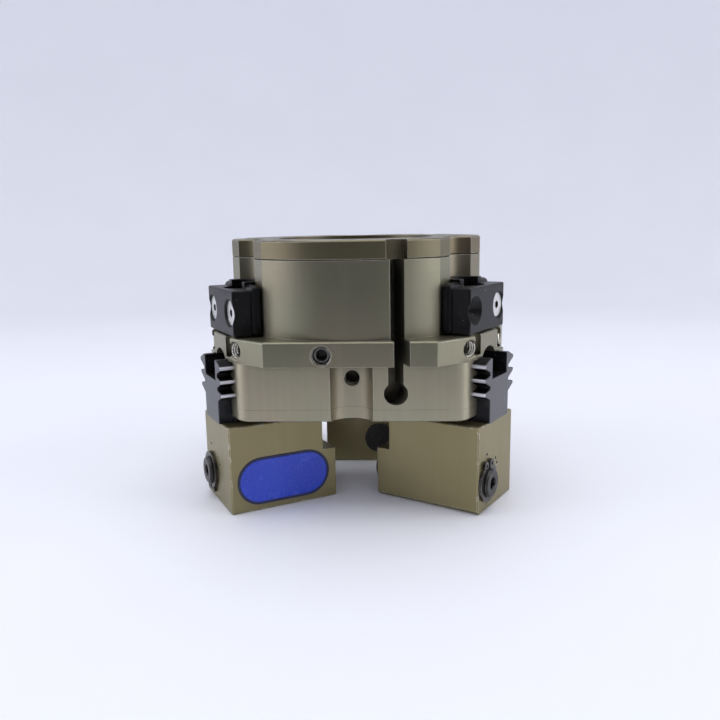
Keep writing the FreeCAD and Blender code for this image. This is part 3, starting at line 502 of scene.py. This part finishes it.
for jaw, turn in JAWS.items():
    for side, sign in (("left", 1), ("right", -1)):
        spokes = spokes_at(turn + CORNER["lean"] * sign)
        housing_thread(f"corner_thread_{jaw}_{side}", {**CORNER, "aside": -sign * CORNER["aside"]},
                       -spokes[0], spokes)
for sector, turn in SECTORS.items():
    spokes = spokes_at(turn)
    housing_thread(f"mount_thread_{sector}", MOUNT, DOWN, spokes)
    housing_thread(f"side_thread_{sector}", SIDE, -spokes[0], spokes)
    housing_thread(f"port_thread_{sector}", PORT, -spokes[0], spokes)


# ---------------------------------------------------------------- camera, stage, light
CAMERA = {"distance": 213.19 * MM, "height": 77.76 * MM, "turn": 3.27, "pitch": 10.95, "yaw": 0.16,
          "roll": -0.98}
LENS, SENSOR = 35.84, 36.0


def add_camera():
    """The camera, placed by its distance from the gripper's axis and its height over the floor."""
    data = bpy.data.cameras.new("camera")
    data.lens, data.sensor_width = LENS, SENSOR
    data.clip_start = 0.01
    camera = bpy.data.objects.new("camera", data)
    bpy.context.scene.collection.objects.link(camera)
    turn = math.radians(CAMERA["turn"])
    place = Matrix.Rotation(turn, 4, "Z") @ Vector((0, -CAMERA["distance"], FLOOR + CAMERA["height"]))
    aim = (Matrix.Rotation(turn - math.radians(CAMERA["yaw"]), 4, "Z")
           @ Matrix.Rotation(math.radians(90 - CAMERA["pitch"]), 4, "X")
           @ Matrix.Rotation(math.radians(CAMERA["roll"]), 4, "Z"))
    camera.matrix_world = Matrix.Translation(place) @ aim
    bpy.context.scene.camera = camera


def add_stage():
    """A pale floor that rises all round into a soft wall."""
    flat, bend, top, spokes = 0.45, 0.45, 1.6, 96
    profile = [(flat, 0.0)]
    profile += [(flat + bend * math.sin(angle), bend * (1 - math.cos(angle)))
                for angle in (math.radians(90 * step / 16) for step in range(1, 17))]
    profile.append((flat + bend, top))
    shape = bmesh.new()
    circle = [2 * math.pi * i / spokes for i in range(spokes)]
    rings = [[shape.verts.new((reach * math.cos(angle), reach * math.sin(angle), FLOOR + rise))
              for angle in circle] for reach, rise in profile]
    shape.faces.new(rings[0])
    for inner, outer in zip(rings, rings[1:]):
        for i in range(spokes):
            j = (i + 1) % spokes
            shape.faces.new((inner[i], inner[j], outer[j], outer[i]))
    bmesh.ops.recalc_face_normals(shape, faces=shape.faces)
    bmesh.ops.reverse_faces(shape, faces=shape.faces)
    mesh = bpy.data.meshes.new("studio")
    shape.to_mesh(mesh)
    shape.free()
    for face in mesh.polygons:
        face.use_smooth = True
    n = Nodes("studio_paper")
    tone = n.noise(n.place(), 9, 2)
    colour = n.mix(n.ramp(tone, 0.3, 0.7), (0.835, 0.845, 0.905), (0.850, 0.860, 0.920))
    n.finish(colour, 0.0, 0.55, n.bump(n.noise(n.place(), 900, 2), 0.02 * MM, 0.2))
    mesh.materials.append(n.material)
    stage = bpy.data.objects.new("studio", mesh)
    bpy.context.scene.collection.objects.link(stage)


def panel(name, place, target, size, power, colour=(1, 1, 1)):
    """A soft rectangular light that looks at a point."""
    data = bpy.data.lights.new(name, "AREA")
    data.shape = "RECTANGLE"
    data.size, data.size_y = size
    data.energy = power
    data.color = colour
    light = bpy.data.objects.new(name, data)
    bpy.context.scene.collection.objects.link(light)
    light.location = place
    light.rotation_euler = (Vector(target) - Vector(place)).to_track_quat("-Z", "Y").to_euler()
    light.visible_camera = False
    return light


def dark_card():
    """A dark card behind the camera, with a foot on the floor, seen only in reflections."""
    shape = bmesh.new()
    wide, back, high, foot = 0.36, -0.31, 0.36, -0.205
    low = FLOOR + 1 * MM
    left, right = ([shape.verts.new((x, y, z)) for y, z in ((foot, low), (back, low), (back, high))]
                   for x in (-wide, wide))
    for i in range(2):
        shape.faces.new((left[i], right[i], right[i + 1], left[i + 1]))
    mesh = bpy.data.meshes.new("dark_card")
    shape.to_mesh(mesh)
    shape.free()
    n = Nodes("dark_card")
    n.finish((0.03, 0.03, 0.035), 0.0, 0.9, n.bump(n.noise(n.place(), 40, 2), 0.1 * MM, 0.1))
    mesh.materials.append(n.material)
    card = bpy.data.objects.new("dark_card", mesh)
    bpy.context.scene.collection.objects.link(card)
    card.visible_camera = False
    card.visible_shadow = False
    card.visible_diffuse = False


def add_light():
    """Soft light from above and both sides, and a low front fill that metals don't reflect."""
    world = bpy.data.worlds.new("world")
    bpy.context.scene.world = world
    world.use_nodes = True
    world.node_tree.nodes["Background"].inputs["Color"].default_value = (0.945, 0.955, 1.0, 1)
    world.node_tree.nodes["Background"].inputs["Strength"].default_value = 0.42
    centre = (0, 0, -0.04)
    panel("top_light", (0.0, 0.05, 0.62), centre, (0.7, 0.7), 2.6)
    panel("left_light", (-0.62, -0.10, 0.16), centre, (0.45, 0.6), 1.6, (0.96, 0.98, 1.0))
    fill = panel("front_fill", (0.0, -0.62, 0.06), (0, 0, FLOOR), (0.5, 0.3), 0.8)
    fill.visible_glossy = False
    panel("right_light", (0.62, -0.10, 0.16), centre, (0.45, 0.6), 1.8, (1.0, 0.99, 0.97))


add_camera()
add_stage()
add_light()
dark_card()
bpy.context.scene.view_settings.view_transform = "Standard"
